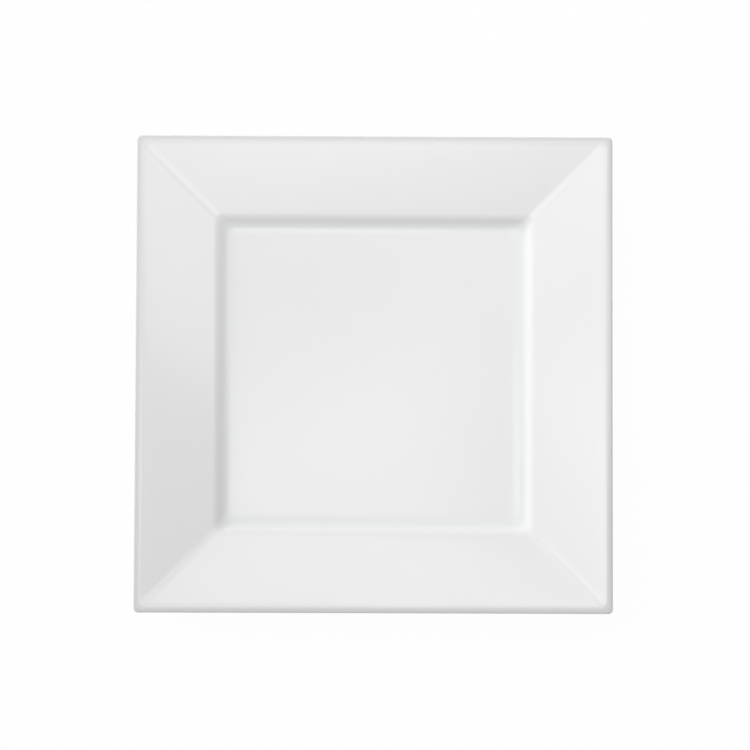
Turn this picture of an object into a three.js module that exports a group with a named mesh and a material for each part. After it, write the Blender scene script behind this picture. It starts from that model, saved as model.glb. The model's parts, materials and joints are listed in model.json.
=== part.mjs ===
// Square serving platter: one firing of white porcelain under a clear gloss glaze.
// Millimetres, +Z up. The origin is on the table, at the centre of the foot ring.

import * as THREE from "three";
import { mergeVertices } from "three/addons/utils/BufferGeometryUtils.js";

// Overall sizes, over the glaze
const SIDE = 305;
const HEIGHT = 24.5;

// The glaze's thickness, and the height above the table at which it is wiped off the foot
const GLAZE = 0.3;
const GLAZE_LINE = 1.4;

// Sizes of the porcelain, under the glaze. Sides are across the flats, between sharp corners.
const WELL_MOUTH_SIDE = 202.4;
const WELL_DEPTH = 4.5;
const WALL_SLOPE_DEG = 44;
const BASE_THICKNESS = 6.2;
const RIM_THICKNESS = 5.1;

// The toe: a band round the floor that rises gently to the foot of the wall
const TOE_WIDTH = 5.9;
const TOE_SLOPE_DEG = 6;

// The lip: the rim crowns a little way in from the edge and falls to an upright face
const CROWN_IN = 3.5;
const LIP_FALL_DEG = 4;
const LIP_FACE = 3.9;

// The underside: a knee under the well's mouth, a heel under the wall, then the foot ring
const KNEE_OUT = 2.4;
const HEEL_OUT = 2.4;
const HEEL_RISE = 0.6;
const BASE_RECESS = 4.6;
const FOOT_INSET = 12.6;
const FOOT_WIDTH = 3.2;
const FOOT_DRAFT_DEG = 25;

// Roundings seen in a section through the middle
const TOE_ROUND = 48;
const FLOOR_FILLET = 9.2;
const MOUTH_ROUND = 8;
const CROWN_ROUND = 6;
const LIP_ROUND = 0.9;
const LIP_UNDER_ROUND = 1.6;
const KNEE_FILLET = 9;
const HEEL_ROUND = 5;
const SHOULDER_FILLET = 1.2;
const FOOT_EDGE_ROUND = 1;
const BASE_FILLET = 1.8;

// Roundings of the square's corners, seen from above
const TOE_CORNER = 7;
const FLOOR_CORNER = 6.5;
const MOUTH_CORNER = 5;
const CROWN_CORNER = 4.5;
const LIP_CORNER = 2.7;
const KNEE_CORNER = 8;
const HEEL_CORNER = 11;
const FOOT_CORNER = 10;

// Fineness of the rounded stretches
const ARC_STEP = THREE.MathUtils.degToRad(18);
const CORNER_DIVISIONS = 3;

// A profile corner: its distance from the axis, its height, its rounding in section, and the
// radius of the rounded square that it is carried round
function corner(half, z, round, plan) {
  return { at: new THREE.Vector2(half, z), round, plan };
}

// The section of the porcelain, from the middle of the floor over the lip to the middle of the base
function porcelainCorners() {
  const floorZ = BASE_RECESS + BASE_THICKNESS;
  const mouthZ = floorZ + WELL_DEPTH;
  const mouthHalf = WELL_MOUTH_SIDE / 2;
  const toeRise = TOE_WIDTH * Math.tan(THREE.MathUtils.degToRad(TOE_SLOPE_DEG));
  const wallRun = (WELL_DEPTH - toeRise) / Math.tan(THREE.MathUtils.degToRad(WALL_SLOPE_DEG));
  const wallHalf = mouthHalf - wallRun;

  // The rim's face leaves the mouth so that it just touches the round of the crown
  const lipHalf = SIDE / 2 - GLAZE;
  const crownX = lipHalf - CROWN_IN - mouthHalf;
  const crownZ = HEIGHT - GLAZE - CROWN_ROUND - mouthZ;
  const rimSlope = Math.atan2(crownZ, crownX) + Math.asin(CROWN_ROUND / Math.hypot(crownX, crownZ));
  const rimZ = (half) => mouthZ + (half - mouthHalf) * Math.tan(rimSlope);

  // The fall to the lip touches the same round, and meets the rim's face in the crown's sharp corner
  const fall = THREE.MathUtils.degToRad(LIP_FALL_DEG);
  const crownOut = (CROWN_ROUND * Math.sin((fall - rimSlope) / 2)) / Math.cos((fall + rimSlope) / 2);
  const crownHalf = lipHalf - CROWN_IN + crownOut;
  const lipZ = rimZ(crownHalf) - (lipHalf - crownHalf) * Math.tan(fall);

  const kneeHalf = mouthHalf + KNEE_OUT;
  const footHalf = wallHalf - FOOT_INSET;
  const draft = Math.tan(THREE.MathUtils.degToRad(FOOT_DRAFT_DEG));
  const footRun = BASE_RECESS * draft;
  const lineRun = GLAZE_LINE * draft;
  const footInner = footHalf - FOOT_WIDTH;
  const innerPlan = FOOT_CORNER - FOOT_WIDTH;

  return [
    corner(0, floorZ, 0, 0),
    corner(wallHalf - TOE_WIDTH, floorZ, TOE_ROUND, TOE_CORNER),
    corner(wallHalf, floorZ + toeRise, FLOOR_FILLET, FLOOR_CORNER),
    corner(mouthHalf, mouthZ, MOUTH_ROUND, MOUTH_CORNER),
    corner(crownHalf, rimZ(crownHalf), CROWN_ROUND, CROWN_CORNER),
    corner(lipHalf, lipZ, LIP_ROUND, LIP_CORNER),
    corner(lipHalf, lipZ - LIP_FACE, LIP_UNDER_ROUND, LIP_CORNER),
    corner(kneeHalf, rimZ(kneeHalf) - RIM_THICKNESS, KNEE_FILLET, KNEE_CORNER),
    corner(wallHalf + HEEL_OUT, BASE_RECESS + HEEL_RISE, HEEL_ROUND, HEEL_CORNER),
    corner(footHalf + footRun, BASE_RECESS, SHOULDER_FILLET, FOOT_CORNER + footRun),
    corner(footHalf + lineRun, GLAZE_LINE, 0, FOOT_CORNER + lineRun),
    corner(footHalf, 0, FOOT_EDGE_ROUND, FOOT_CORNER),
    corner(footInner, 0, FOOT_EDGE_ROUND, innerPlan),
    corner(footInner - lineRun, GLAZE_LINE, 0, innerPlan - lineRun),
    corner(footInner - footRun, BASE_RECESS, BASE_FILLET, innerPlan - footRun),
    corner(0, BASE_RECESS, 0, 0),
  ];
}

// How much of a straight stretch a corner's rounding uses up, on each side of the corner
function tangentLength(corners, i) {
  if (corners[i].round === 0) return 0;
  const before = corners[i].at.clone().sub(corners[i - 1].at);
  const after = corners[i + 1].at.clone().sub(corners[i].at);
  return corners[i].round * Math.tan(Math.abs(turn(before, after)) / 2);
}

// The signed angle from one direction to the next, positive to the left
function turn(before, after) {
  return Math.atan2(before.cross(after), before.dot(after));
}

// Rounds each corner of the section with an arc, and gives points with their outward normals.
// Where two roundings don't fit on the wall between them, both are reduced alike.
function sectionPoints(corners) {
  const wanted = corners.map((_, i) => tangentLength(corners, i));
  const share = (i, j) => corners[i].at.distanceTo(corners[j].at) / (wanted[i] + wanted[j]);
  const outward = (direction) => new THREE.Vector2(-direction.y, direction.x);
  const points = [];

  corners.forEach(({ at, plan }, i) => {
    const last = corners.length - 1;
    const before = at.clone().sub(corners[Math.max(i - 1, 0)].at).normalize();
    const after = corners[Math.min(i + 1, last)].at.clone().sub(at).normalize();
    if (wanted[i] === 0) {
      points.push({ at, normal: outward(i === last ? before : after), plan });
      return;
    }

    const angle = turn(before, after);
    const length = wanted[i] * Math.min(1, share(i - 1, i), share(i, i + 1));
    const radius = length / Math.tan(angle / 2);
    const start = at.clone().addScaledVector(before, -length);
    const centre = start.clone().addScaledVector(outward(before), radius);
    const steps = Math.ceil(Math.abs(angle) / ARC_STEP);
    for (let step = 0; step <= steps; step += 1) {
      const swept = (angle * step) / steps;
      const normal = outward(before).rotateAround(new THREE.Vector2(), swept);
      points.push({ at: start.clone().rotateAround(centre, swept), normal, plan });
    }
  });
  return points;
}

// One section point carried round the platter as a rounded square, lifted along its normal.
// A point on the axis stays a single point.
function ring({ at, normal, plan }, lift) {
  const half = at.x + lift * normal.x;
  const z = at.y + lift * normal.y;
  if (at.x === 0) return [new THREE.Vector3(0, 0, z)];

  const radius = plan + lift * normal.x;
  const centre = half - radius;
  const quarter = Math.PI / 2;
  const outline = new THREE.Shape();
  outline.absarc(centre, centre, radius, 0, quarter);
  outline.absarc(-centre, centre, radius, quarter, 2 * quarter);
  outline.absarc(-centre, -centre, radius, 2 * quarter, 3 * quarter);
  outline.absarc(centre, -centre, radius, 3 * quarter, 4 * quarter);
  return outline.getPoints(CORNER_DIVISIONS).map((point) => new THREE.Vector3(point.x, point.y, z));
}

// Triangles between two neighbouring rings, or a fan where one of them is a single point
function strip(first, second) {
  const triangles = [];
  const count = Math.max(first.length, second.length);
  for (let i = 0; i < count; i += 1) {
    const next = (i + 1) % count;
    if (second.length > 1) triangles.push([first[i % first.length], second[i], second[next]]);
    if (first.length > 1) triangles.push([first[i], second[next % second.length], first[next]]);
  }
  return triangles;
}

function skin(rings) {
  return rings.slice(1).flatMap((next, i) => strip(rings[i], next));
}

function solid(name, triangles, material) {
  const loose = new THREE.BufferGeometry().setFromPoints(triangles.flat());
  const geometry = mergeVertices(loose);
  geometry.computeVertexNormals();
  const mesh = new THREE.Mesh(geometry, material);
  mesh.name = name;
  return mesh;
}

// The porcelain: floor, wall, rim, lip and foot ring in one closed skin
function porcelainBody(points) {
  const biscuit = new THREE.MeshStandardMaterial({ color: 0xefeeea, roughness: 0.8, metalness: 0 });
  const rings = points.map((point) => ring(point, 0));
  return solid("porcelain_body", skin(rings), biscuit);
}

// A coat of glaze on a run of section points: its face, its back on the porcelain, and its open edges
function glazeCoat(name, points) {
  const glaze = new THREE.MeshStandardMaterial({ color: 0xf1f3f2, roughness: 0.1, metalness: 0 });
  const face = points.map((point) => ring(point, GLAZE));
  const back = points.map((point) => ring(point, 0));
  const last = points.length - 1;
  const triangles = [
    ...skin(face),
    ...skin(back).map((triangle) => triangle.toReversed()),
    ...(points[0].at.x > 0 ? strip(back[0], face[0]) : []),
    ...(points[last].at.x > 0 ? strip(face[last], back[last]) : []),
  ];
  return solid(name, triangles, glaze);
}

const section = sectionPoints(porcelainCorners());
const onGlazeLine = (point) => point.at.y === GLAZE_LINE;
const outerLine = section.findIndex(onGlazeLine);
const innerLine = section.findLastIndex(onGlazeLine);

const platter = new THREE.Group();
platter.add(porcelainBody(section));
platter.add(glazeCoat("face_glaze", section.slice(0, outerLine + 1)));
platter.add(glazeCoat("base_glaze", section.slice(innerLine)));

export default platter;
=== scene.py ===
import json

import bpy
import numpy as np
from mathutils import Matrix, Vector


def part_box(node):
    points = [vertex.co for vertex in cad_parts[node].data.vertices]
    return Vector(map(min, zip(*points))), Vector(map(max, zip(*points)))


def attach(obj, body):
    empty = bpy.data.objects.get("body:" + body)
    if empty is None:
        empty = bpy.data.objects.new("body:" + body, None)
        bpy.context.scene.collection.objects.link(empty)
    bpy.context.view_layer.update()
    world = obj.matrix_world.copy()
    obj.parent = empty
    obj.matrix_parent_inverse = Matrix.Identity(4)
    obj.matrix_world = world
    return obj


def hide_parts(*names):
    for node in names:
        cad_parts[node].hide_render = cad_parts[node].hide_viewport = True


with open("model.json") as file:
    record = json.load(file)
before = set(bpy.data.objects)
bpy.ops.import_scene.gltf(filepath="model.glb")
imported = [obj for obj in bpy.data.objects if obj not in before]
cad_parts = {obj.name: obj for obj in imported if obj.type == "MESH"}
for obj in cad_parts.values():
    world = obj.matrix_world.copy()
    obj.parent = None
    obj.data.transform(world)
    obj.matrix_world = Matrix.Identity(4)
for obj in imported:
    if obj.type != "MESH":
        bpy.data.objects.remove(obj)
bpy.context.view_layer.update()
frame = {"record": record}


# Porcelain body
# The platter itself: floor, wall, rim, lip and foot ring, pressed from white clay in one mould and
# fired as one. The glaze hides it everywhere but on the foot ring, which is wiped dry and stays matt.

body_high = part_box("porcelain_body")[1]
coat_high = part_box("face_glaze")[1]
base_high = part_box("base_glaze")[1]
mount_height = {mount["name"]: mount["pos_m"][2] for mount in frame["record"]["mounts"]}

glaze_thickness = coat_high.x - body_high.x
glaze_line = 0.0014

# Sizes of the face, under the glaze
well_mouth_half = 0.1012
well_depth = 0.0045
wall_slope = np.radians(44)
toe_width = 0.0059
toe_slope = np.radians(6)
rim_thickness = 0.0051
crown_in = 0.0035
lip_fall = np.radians(4)
lip_face = 0.0039

# Sizes of the underside
knee_out = 0.0024
heel_out = 0.0024
heel_rise = 0.0006
foot_inset = 0.0126
foot_width = 0.0032
foot_draft = np.tan(np.radians(25))

# Roundings seen in a section through the middle
toe_round = 0.048
floor_fillet = 0.0092
mouth_round = 0.008
crown_round = 0.006
lip_round = 0.0009
lip_under_round = 0.0016
knee_fillet = 0.009
heel_round = 0.005
shoulder_fillet = 0.0012
foot_edge_round = 0.001
base_fillet = 0.0018

# Roundings of the square's corners, seen from above
toe_corner = 0.007
floor_corner = 0.0065
mouth_corner = 0.005
crown_corner = 0.0045
lip_corner = 0.0027
knee_corner = 0.008
heel_corner = 0.011
foot_corner = 0.010

floor_z = mount_height["well_floor"] - glaze_thickness
mouth_z = floor_z + well_depth
toe_rise = toe_width * np.tan(toe_slope)
wall_half = well_mouth_half - (well_depth - toe_rise) / np.tan(wall_slope)
lip_half = body_high.x

# The rim's face leaves the mouth so that it just touches the round of the crown, and so does the fall
crown_reach = lip_half - crown_in - well_mouth_half
crown_rise = body_high.z - crown_round - mouth_z
crown_angle = np.arcsin(crown_round / np.hypot(crown_reach, crown_rise))
rim_slope = np.arctan2(crown_rise, crown_reach) + crown_angle
crown_out = crown_round * np.sin((lip_fall - rim_slope) / 2) / np.cos((lip_fall + rim_slope) / 2)


def rim_z(half):
    """Height of the rim's face, a straight slope outwards from the well's mouth."""
    return mouth_z + (half - well_mouth_half) * np.tan(rim_slope)


crown_half = lip_half - crown_in + crown_out
lip_z = rim_z(crown_half) - (lip_half - crown_half) * np.tan(lip_fall)
knee_half = well_mouth_half + knee_out
base_z = base_high.z
foot_half = wall_half - foot_inset
foot_inner = foot_half - foot_width
foot_run = base_z * foot_draft
line_run = glaze_line * foot_draft
inner_corner = foot_corner - foot_width

# Each corner of the section: reach from the axis, height, rounding in section, rounding in plan
outer_glaze_end = (foot_half + line_run, glaze_line, 0, foot_corner + line_run)
inner_glaze_end = (foot_inner - line_run, glaze_line, 0, inner_corner - line_run)
face_corners = [
    (0, floor_z, 0, 0),
    (wall_half - toe_width, floor_z, toe_round, toe_corner),
    (wall_half, floor_z + toe_rise, floor_fillet, floor_corner),
    (well_mouth_half, mouth_z, mouth_round, mouth_corner),
    (crown_half, rim_z(crown_half), crown_round, crown_corner),
    (lip_half, lip_z, lip_round, lip_corner),
    (lip_half, lip_z - lip_face, lip_under_round, lip_corner),
    (knee_half, rim_z(knee_half) - rim_thickness, knee_fillet, knee_corner),
    (wall_half + heel_out, base_z + heel_rise, heel_round, heel_corner),
    (foot_half + foot_run, base_z, shoulder_fillet, foot_corner + foot_run),
    outer_glaze_end,
]
foot_corners = [
    outer_glaze_end,
    (foot_half, 0, foot_edge_round, foot_corner),
    (foot_inner, 0, foot_edge_round, inner_corner),
    inner_glaze_end,
]
base_corners = [
    inner_glaze_end,
    (foot_inner - foot_run, base_z, base_fillet, inner_corner - foot_run),
    (0, base_z, 0, 0),
]

arc_points = 13
section_step = 0.003
least_step = 0.00004


def run_along(section):
    """The length run along a section line, from its start to each of its points."""
    return np.r_[0, np.cumsum(np.hypot(np.diff(section[:, 0]), np.diff(section[:, 1])))]


def rounded_section(corners):
    """A section line with each corner turned into an arc that touches the stretches on both sides.

    The arc starts one tangent length before the corner. Its centre lies one radius along the normal,
    and its points lie one radius back along the normal as that turns from one stretch's to the next's.
    The plan rounding changes evenly from the middle of one arc to the middle of the next.
    Gives rows of reach, height, outward normal and plan rounding, with even steps put in between.
    """
    reach, height, radius, plan = np.array(corners, float).T
    stretch = np.diff(np.c_[reach, height], axis=0)
    heading = np.arctan2(stretch[:, 1], stretch[:, 0])
    turn = (np.diff(heading) + np.pi) % (2 * np.pi) - np.pi
    tangent = radius[1:-1] * np.tan(np.abs(turn) / 2)
    bend = (radius[1:-1] * np.sign(turn))[:, None]
    facing = heading[:-1, None] + np.pi / 2 + turn[:, None] * np.linspace(0, 1, arc_points)
    start_reach = reach[1:-1] - tangent * np.cos(heading[:-1])
    start_height = height[1:-1] - tangent * np.sin(heading[:-1])
    arc_reach = start_reach[:, None] + bend * (np.cos(facing[:, :1]) - np.cos(facing))
    arc_height = start_height[:, None] + bend * (np.sin(facing[:, :1]) - np.sin(facing))

    ends = heading[[0, -1]] + np.pi / 2
    normal = np.r_[ends[0], facing.ravel(), ends[1]]
    line_reach = np.r_[reach[0], arc_reach.ravel(), reach[-1]]
    line = np.c_[line_reach, np.r_[height[0], arc_height.ravel(), height[-1]]]
    along = run_along(line)
    middles = along[1:-1].reshape(-1, arc_points)[:, arc_points // 2]
    rounding = np.interp(along, np.r_[0, middles, along[-1]], plan)
    rows = np.c_[line, np.cos(normal), np.sin(normal), rounding]

    even = np.linspace(0, along[-1], int(along[-1] / section_step) + 1)
    where = np.sort(np.r_[along, even])
    where = where[np.r_[True, np.diff(where) > least_step]]
    where[-1] = along[-1]
    return np.stack([np.interp(where, along, column) for column in rows.T], axis=1)


corner_steps = 14
side_steps = 28


def square_path():
    """Once round a square of half side 1, as places on the square and the outward direction there.

    The place waits at a corner while the direction turns a quarter, then runs along the next side.
    """
    corner = np.arange(4)[:, None]
    turned = np.linspace(0, 1, corner_steps + 1)[None, :]
    run = np.linspace(0, 1, side_steps + 1)[None, 1:-1]
    angle = np.concatenate([corner + turned, corner + 1 + 0 * run], axis=1) * np.pi / 2
    sign = np.sqrt(2) * np.exp(1j * (corner * np.pi / 2 + np.pi / 4))
    place = np.concatenate([sign + 0 * turned, sign + (np.roll(sign, -1, axis=0) - sign) * run], axis=1)
    return place.ravel(), np.exp(1j * angle).ravel()


corner_lift = 0.00035
warp_from = 0.65
warp_balance = 0.3


def fired(points):
    """The kiln's slight warp: the rim's corners stand up a little and its sides sag.

    The rise is the product of the squares of both distances from the axes, less a balance, and it
    grows with the square of the distance beyond the well, so that floor and foot stay flat.
    """
    x, y, z = np.moveaxis(points / lip_half, -1, 0)
    outer = np.clip((np.maximum(abs(x), abs(y)) - warp_from) / (1 - warp_from), 0, 1)
    rise = corner_lift * outer**2 * (x * x * y * y - warp_balance)
    return points + np.stack([0 * z, 0 * z, rise], axis=-1)


def carried_round(section, lift):
    """The section carried round the square path, lifted off along its normals.

    A ring is the square path scaled to reach less plan rounding, plus the outward direction scaled to
    the rounding: a square with round corners. Gives an array of rings by places round by x, y, z.
    """
    reach, height, out, up, plan = section.T[:, :, None]
    place, direction = square_path()
    flat = (reach - plan) * place + (plan + lift * out) * direction
    return fired(np.stack([flat.real, flat.imag, height + lift * up + 0 * flat.real], axis=-1))


def skin(name, rings):
    """One closed skin over rings that start and end on the axis, with a single vertex at each end."""
    inner = rings[1:-1]
    count, around = inner.shape[:2]
    vertices = np.concatenate([rings[0, :1], inner.reshape(-1, 3), rings[-1, :1]])
    index = 1 + np.arange(count * around).reshape(count, around)
    following = np.roll(index, -1, axis=1)
    quads = np.stack([index[:-1], index[1:], following[1:], following[:-1]], axis=-1).reshape(-1, 4)
    first_fan = np.stack([0 * index[0], index[0], following[0]], axis=-1)
    last_fan = np.stack([index[-1], 0 * index[-1] + len(vertices) - 1, following[-1]], axis=-1)
    mesh = bpy.data.meshes.new(name)
    mesh.from_pydata(vertices.tolist(), [], quads.tolist() + first_fan.tolist() + last_fan.tolist())
    mesh.polygons.foreach_set("use_smooth", np.ones(len(mesh.polygons), bool))
    piece = bpy.data.objects.new(name, mesh)
    bpy.context.scene.collection.objects.link(piece)
    return piece


def new_material(name):
    """A new node material, its tree, its shader and its Object coordinates."""
    material = bpy.data.materials.new(name)
    material.use_nodes = True
    tree = material.node_tree
    shader = tree.nodes["Principled BSDF"]
    place = tree.nodes.new("ShaderNodeTexCoord").outputs["Object"]
    return material, tree, shader, place


def noise(tree, place, size, detail):
    """A cloud pattern on the piece, whose patches are about `size` metres across."""
    node = tree.nodes.new("ShaderNodeTexNoise")
    node.inputs["Scale"].default_value = 1 / size
    node.inputs["Detail"].default_value = detail
    tree.links.new(place, node.inputs["Vector"])
    return node.outputs["Fac"]


def graded(tree, value, low, high, from_low=0.3, from_high=0.7):
    """A pattern spread over the range from low to high, with eased ends.

    Where no range to spread from is given, it is the one that most values of a cloud pattern lie in.
    """
    node = tree.nodes.new("ShaderNodeMapRange")
    node.interpolation_type = "SMOOTHSTEP"
    node.inputs["From Min"].default_value = from_low
    node.inputs["From Max"].default_value = from_high
    node.inputs["To Min"].default_value = low
    node.inputs["To Max"].default_value = high
    tree.links.new(value, node.inputs["Value"])
    return node.outputs["Result"]


def mixed(tree, share, first, second):
    """Two colours mixed by a pattern."""
    node = tree.nodes.new("ShaderNodeMix")
    node.data_type = "RGBA"
    for socket, colour in ((node.inputs["A"], first), (node.inputs["B"], second)):
        if isinstance(colour, tuple):
            socket.default_value = (*colour, 1)
        else:
            tree.links.new(colour, socket)
    tree.links.new(share, node.inputs["Factor"])
    return node.outputs["Result"]


def bumped(tree, height, depth):
    """A normal from a height pattern that is `depth` metres deep."""
    node = tree.nodes.new("ShaderNodeBump")
    node.inputs["Distance"].default_value = depth
    tree.links.new(height, node.inputs["Height"])
    return node.outputs["Normal"]


clay_white = (0.80, 0.79, 0.765)
clay_cream = (0.76, 0.745, 0.715)
clay_cloud_size = 0.004
shelf_grey = (0.55, 0.54, 0.52)
shelf_rub_size = 0.011
shelf_rub_share = 0.5
shelf_rub_from = 0.52
shelf_rub_full = 0.7
clay_roughness = (0.7, 0.95)
clay_roughness_size = 0.002
clay_grain_size = 0.0004
clay_grain_depth = 0.00006


def biscuit_finish():
    """Bare fired clay: a chalky, faintly warm white with a fine grain and grey rubs from the shelf."""
    material, tree, shader, place = new_material("biscuit")
    clouds = graded(tree, noise(tree, place, clay_cloud_size, detail=4), 0, 1)
    smudges = noise(tree, place, shelf_rub_size, detail=6)
    rubs = graded(tree, smudges, 0, shelf_rub_share, shelf_rub_from, shelf_rub_full)
    clay = mixed(tree, rubs, mixed(tree, clouds, clay_white, clay_cream), shelf_grey)
    roughness = graded(tree, noise(tree, place, clay_roughness_size, detail=3), *clay_roughness)
    grain = bumped(tree, noise(tree, place, clay_grain_size, detail=3), clay_grain_depth)
    tree.links.new(clay, shader.inputs["Base Color"])
    tree.links.new(roughness, shader.inputs["Roughness"])
    tree.links.new(grain, shader.inputs["Normal"])
    return material


face_section = rounded_section(face_corners)
foot_section = rounded_section(foot_corners)
base_section = rounded_section(base_corners)
body_section = np.concatenate([face_section, foot_section[1:], base_section[1:]])
porcelain = skin("porcelain_body_fired", carried_round(body_section, 0))
porcelain.data.materials.append(biscuit_finish())
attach(porcelain, "root")
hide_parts("porcelain_body")


# Face glaze
# The clear gloss glaze over the face, the lip and the underside, one coat of glass fused to the clay.
# It runs together in the hollows, draws thin over the edges and ends in a rolled edge above the foot.

gather_length = 0.004
gather_spread = 0.0015
roll_width = 0.0007
hollow_gain = 0.5
edge_loss = 0.25


def gathered(section):
    """How far glaze gathers along a section: above 0 in hollows, below 0 over edges, 0 on the flat.

    It is the turn of the normal for each metre run, blurred along the section and scaled by a length.
    """
    along = run_along(section)
    facing = np.unwrap(np.arctan2(section[:, 3], section[:, 2]))
    curve = np.gradient(facing, along)
    width = np.gradient(along)
    weight = np.exp(-(((along[:, None] - along) / gather_spread) ** 2)) * width
    return np.clip(gather_length * (weight @ curve) / weight.sum(axis=1), -1, 1)


def coat_depth(section, from_edge):
    """The coat's depth along a section, at the given runs from its edge.

    It is deeper in hollows and thinner over edges, and its rolled edge is a quarter circle drawn out
    over the roll's width.
    """
    gather = gathered(section)
    change = hollow_gain * np.maximum(gather, 0) + edge_loss * np.minimum(gather, 0)
    roll = np.sqrt(1 - (1 - np.clip(from_edge / roll_width, 0, 1)) ** 2)
    return glaze_thickness * (1 + change) * roll


# Of each wave: how fast it runs along x and along y, in radians a metre, and its shift in radians
ripple_waves = np.array([[210, 90, 0], [-120, 260, 1], [330, -170, 2]])
ripple_depth = 0.000006


def rippled(rings):
    """The glaze's slow unevenness in height: crossing waves, each a sine of a slanting distance."""
    x, y = rings[..., :1], rings[..., 1:2]
    along_x, along_y, shift = ripple_waves.T
    waves = np.sin(along_x * x + along_y * y + shift).sum(axis=-1, keepdims=True)
    return rings + ripple_depth * waves * np.array([0, 0, 1])


# The lip's painted shade: how far in from the edge it reaches, and how it eases in
lip_shade_reach = 0.0065
lip_shade_power = 1.6


def lip_shade_share(section):
    """How much painted shade darkens the lip: a power of the way from the shade's start to the lip
    round.
    """
    way = (lip_shade_reach - (lip_half - section[:, 0])) / (lip_shade_reach - lip_round)
    return np.clip(way, 0, 1) ** lip_shade_power


def mark(piece, name, values):
    """Stores a value at each vertex, from a value for each ring, for the finish to read."""
    around = 4 * (corner_steps + side_steps)
    spread = np.r_[values[0], np.repeat(values[1:-1], around), values[-1]]
    layer = piece.data.attributes.new(name, "FLOAT", "POINT")
    layer.data.foreach_set("value", np.clip(spread, 0, 1).astype(np.float32))


def marked(tree, name):
    """A value that was stored at the vertices."""
    node = tree.nodes.new("ShaderNodeAttribute")
    node.attribute_name = name
    return node.outputs["Fac"]


glaze_cool = (0.842, 0.846, 0.844)
glaze_warm = (0.852, 0.854, 0.852)
glaze_cloud_size = 0.09
glaze_deep = (0.825, 0.845, 0.840)
# A painted shade grey for the outer lip, darker than the glaze around it
lip_shade_grey = (0.66, 0.663, 0.661)
glaze_roughness = (0.07, 0.11)
glaze_roughness_size = 0.02
orange_peel_size = 0.0022
orange_peel_depth = 0.000004
glaze_ior = 1.5


def glaze_finish():
    """Clear gloss over white: faintly green where deep, painted shade at the lip, slightly rippled."""
    material, tree, shader, place = new_material("gloss_glaze")
    clouds = graded(tree, noise(tree, place, glaze_cloud_size, detail=2), 0, 1)
    white = mixed(tree, clouds, glaze_cool, glaze_warm)
    white = mixed(tree, marked(tree, "pooling"), white, glaze_deep)
    # Painted shade: the glaze turns towards grey at the outer lip
    white = mixed(tree, marked(tree, "lip_shade_share"), white, lip_shade_grey)
    roughness = graded(tree, noise(tree, place, glaze_roughness_size, detail=3), *glaze_roughness)
    orange_peel = bumped(tree, noise(tree, place, orange_peel_size, detail=2), orange_peel_depth)
    tree.links.new(white, shader.inputs["Base Color"])
    tree.links.new(roughness, shader.inputs["Roughness"])
    tree.links.new(orange_peel, shader.inputs["Normal"])
    shader.inputs["IOR"].default_value = glaze_ior
    return material


pool_scale = 2.6
face_run = run_along(face_section)
face_depth = coat_depth(face_section, face_run[-1] - face_run)
face_top = rippled(carried_round(face_section, face_depth[:, None]))
face_back = carried_round(face_section, 0)[::-1]
face_pool = pool_scale * gathered(face_section)
# How much painted shade falls on each ring of the face glaze, near the lip
face_lip_shade = lip_shade_share(face_section)
face_glaze = skin("face_glaze_fired", np.concatenate([face_top, face_back[1:]]))
mark(face_glaze, "pooling", np.r_[face_pool, face_pool[::-1][1:]])
mark(face_glaze, "lip_shade_share", np.r_[face_lip_shade, face_lip_shade[::-1][1:]])
glaze = glaze_finish()
face_glaze.data.materials.append(glaze)
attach(face_glaze, "root")
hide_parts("face_glaze")


# Base glaze
# The same glaze on the base, inside the foot ring. The wiped ring parts it from the rest, so it is a
# coat of its own with a rolled edge all round.

base_depth = coat_depth(base_section, run_along(base_section))
base_top = rippled(carried_round(base_section, base_depth[:, None]))
base_back = carried_round(base_section, 0)[::-1]
base_pool = pool_scale * gathered(base_section)
base_glaze = skin("base_glaze_fired", np.concatenate([base_back[:-1], base_top]))
mark(base_glaze, "pooling", np.r_[base_pool[::-1][:-1], base_pool])
base_glaze.data.materials.append(glaze)
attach(base_glaze, "root")
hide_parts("base_glaze")


# Table, light and camera
# A plain white table in a pale room that is brighter on two sides. A soft box and a strip light hang
# overhead, and a third box stands near the far side. The camera looks almost straight down.

table_half = 4.0
table_drop = 0.0001
table_corners = np.array([[-1, -1, 0], [1, -1, 0], [1, 1, 0], [-1, 1, 0]])
table_square = table_corners * table_half - [0, 0, table_drop]
table_mesh = bpy.data.meshes.new("table")
table_mesh.from_pydata(table_square.tolist(), [], [[0, 1, 2, 3]])
table = bpy.data.objects.new("table", table_mesh)
bpy.context.scene.collection.objects.link(table)


def seen_share(tree, share):
    """The given share for rays from the camera, or from gloss or glass, and 0 for other rays."""
    path = tree.nodes.new("ShaderNodeLightPath")
    highest = path.outputs["Is Camera Ray"]
    for name in ("Is Glossy Ray", "Is Transmission Ray"):
        node = tree.nodes.new("ShaderNodeMath")
        node.operation = "MAXIMUM"
        tree.links.new(highest, node.inputs[0])
        tree.links.new(path.outputs[name], node.inputs[1])
        highest = node.outputs["Value"]
    scaled = tree.nodes.new("ShaderNodeMath")
    scaled.operation = "MULTIPLY"
    scaled.inputs[1].default_value = share
    tree.links.new(highest, scaled.inputs[0])
    return scaled.outputs["Value"]


# The table shows as white, with the rest of its share left to the shadow on its matt surface
table_white_share = 0.97
table_colour = (0.86, 0.86, 0.86, 1)
table_top = bpy.data.materials.new("table_white")
table_top.use_nodes = True
table_tree = table_top.node_tree
table_tree.nodes.remove(table_tree.nodes["Principled BSDF"])
matt = table_tree.nodes.new("ShaderNodeBsdfDiffuse")
matt.inputs["Color"].default_value = table_colour
white = table_tree.nodes.new("ShaderNodeEmission")
table_mix = table_tree.nodes.new("ShaderNodeMixShader")
table_tree.links.new(seen_share(table_tree, table_white_share), table_mix.inputs["Fac"])
table_tree.links.new(matt.outputs["BSDF"], table_mix.inputs[1])
table_tree.links.new(white.outputs["Emission"], table_mix.inputs[2])
table_tree.links.new(table_mix.outputs["Shader"], table_tree.nodes["Material Output"].inputs["Surface"])
table.data.materials.append(table_top)

side_sharpness = 8


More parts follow.
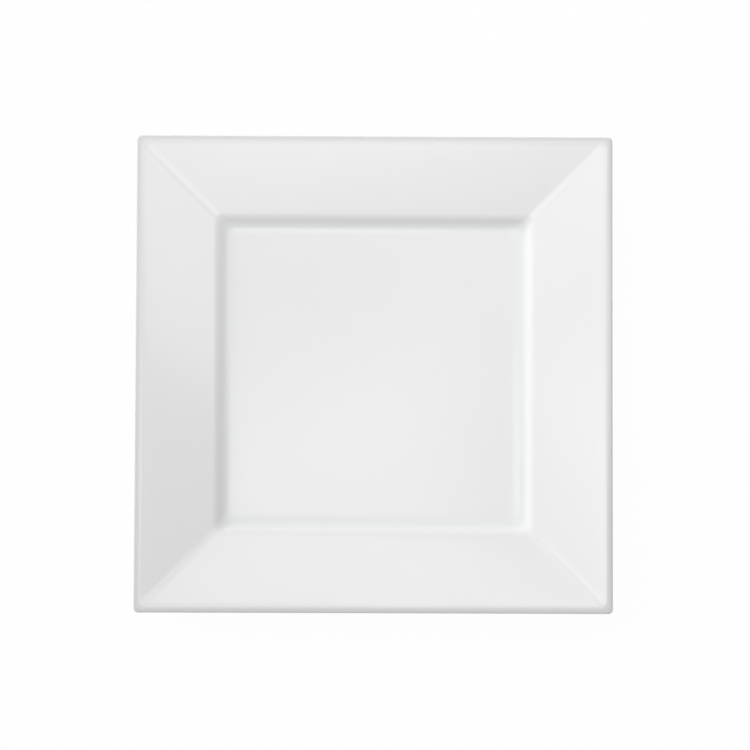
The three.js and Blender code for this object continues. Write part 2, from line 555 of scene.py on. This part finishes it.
def side_light(tree, azimuth, height, strength):
    """Light from one side of the room: its strength times a power of the cosine of the angle from it."""
    azimuth, height = np.radians([azimuth, height])
    toward = tree.nodes.new("ShaderNodeVectorMath")
    toward.operation = "DOT_PRODUCT"
    aim = np.r_[np.cos(height) * np.cos(azimuth), np.cos(height) * np.sin(azimuth), np.sin(height)]
    toward.inputs[1].default_value = aim
    tree.links.new(tree.nodes.new("ShaderNodeTexCoord").outputs["Generated"], toward.inputs[0])
    value = toward.outputs["Value"]
    for operation, amount in (("MAXIMUM", 0), ("POWER", side_sharpness), ("MULTIPLY", strength)):
        node = tree.nodes.new("ShaderNodeMath")
        node.operation = operation
        node.inputs[1].default_value = amount
        tree.links.new(value, node.inputs[0])
        value = node.outputs["Value"]
    return value


# The room lights the platter as its level and its two bright sides say, and shows as plain white
room_level = 0.17
plain_white = (1, 1, 1, 1)
room = bpy.data.worlds.new("room")
room.use_nodes = True
bpy.context.scene.world = room
room_tree = room.node_tree
pale = room_tree.nodes["Background"]
pale.inputs["Color"].default_value = plain_white
sides = room_tree.nodes.new("ShaderNodeMath")
room_tree.links.new(side_light(room_tree, azimuth=157, height=25, strength=4.0), sides.inputs[0])
room_tree.links.new(side_light(room_tree, azimuth=308, height=12, strength=2.0), sides.inputs[1])
level = room_tree.nodes.new("ShaderNodeMath")
level.inputs[1].default_value = room_level
room_tree.links.new(sides.outputs["Value"], level.inputs[0])
room_tree.links.new(level.outputs["Value"], pale.inputs["Strength"])
backdrop = room_tree.nodes.new("ShaderNodeBackground")
backdrop.inputs["Color"].default_value = plain_white
room_mix = room_tree.nodes.new("ShaderNodeMixShader")
room_tree.links.new(seen_share(room_tree, 1), room_mix.inputs["Fac"])
room_tree.links.new(pale.outputs["Background"], room_mix.inputs[1])
room_tree.links.new(backdrop.outputs["Background"], room_mix.inputs[2])
room_tree.links.new(room_mix.outputs["Shader"], room_tree.nodes["World Output"].inputs["Surface"])


def soft_box(name, place, tilt, turn, width, length, glow, soft_edge):
    """A soft box that faces down, is tilted about x and then turned about z, both in degrees.

    Its glow, which is what it shows to a mirror, is even and fades over the soft edge, a share of its
    width. Its power is the glow times pi times its area.
    """
    lamp = bpy.data.lights.new(name, "AREA")
    lamp.shape = "RECTANGLE"
    lamp.size = width
    lamp.size_y = length
    lamp.energy = glow * np.pi * width * length
    lamp.use_nodes = True
    tree = lamp.node_tree

    # Places across the box run from 0 to 1, with its middle at a half
    middle = 0.5
    value = tree.nodes.new("ShaderNodeNewGeometry").outputs["Parametric"]
    for operation in ("SUBTRACT", "ABSOLUTE"):
        node = tree.nodes.new("ShaderNodeVectorMath")
        node.operation = operation
        node.inputs[1].default_value = (middle, middle, 0)
        tree.links.new(value, node.inputs[0])
        value = node.outputs["Vector"]
    across = tree.nodes.new("ShaderNodeSeparateXYZ")
    tree.links.new(value, across.inputs["Vector"])
    farther = tree.nodes.new("ShaderNodeMath")
    farther.operation = "MAXIMUM"
    tree.links.new(across.outputs["X"], farther.inputs[0])
    tree.links.new(across.outputs["Y"], farther.inputs[1])
    fade = graded(tree, farther.outputs["Value"], 1, 0, middle - soft_edge, middle)
    tree.links.new(fade, tree.nodes["Emission"].inputs["Strength"])

    holder = bpy.data.objects.new(name, lamp)
    holder.location = place
    holder.rotation_euler = np.radians([tilt, 0, turn])
    holder.visible_camera = False
    bpy.context.scene.collection.objects.link(holder)
    return holder


box_height = 2.6
soft_box(
    "overhead_box",
    place=(-0.11, -0.19, box_height),
    tilt=0,
    turn=13,
    width=1.29,
    length=1.06,
    glow=2.04,
    soft_edge=0.42,
)
soft_box(
    "strip_box",
    place=(0.37, 0.45, box_height),
    tilt=0,
    turn=-26,
    width=2.24,
    length=0.55,
    glow=1.4,
    soft_edge=0.25,
)

# The near box lights the platter and isn't mirrored in it, so that no panel clips in a low view
near_box = soft_box(
    "near_box",
    place=(0, 0.766, 0.643),
    tilt=-50,
    turn=0,
    width=1.25,
    length=1.1,
    glow=1.5,
    soft_edge=0.2,
)
near_box.visible_glossy = False

camera_place = (-0.00564, -0.04326, 1.2)
camera_turn = np.radians([2.065, -0.308, 0.21])
camera_lens = 88.47
camera = bpy.data.objects.new("camera", bpy.data.cameras.new("camera"))
camera.data.lens = camera_lens
camera.location = camera_place
camera.rotation_euler = camera_turn
bpy.context.scene.collection.objects.link(camera)
bpy.context.scene.camera = camera
bpy.context.scene.view_settings.view_transform = "Standard"
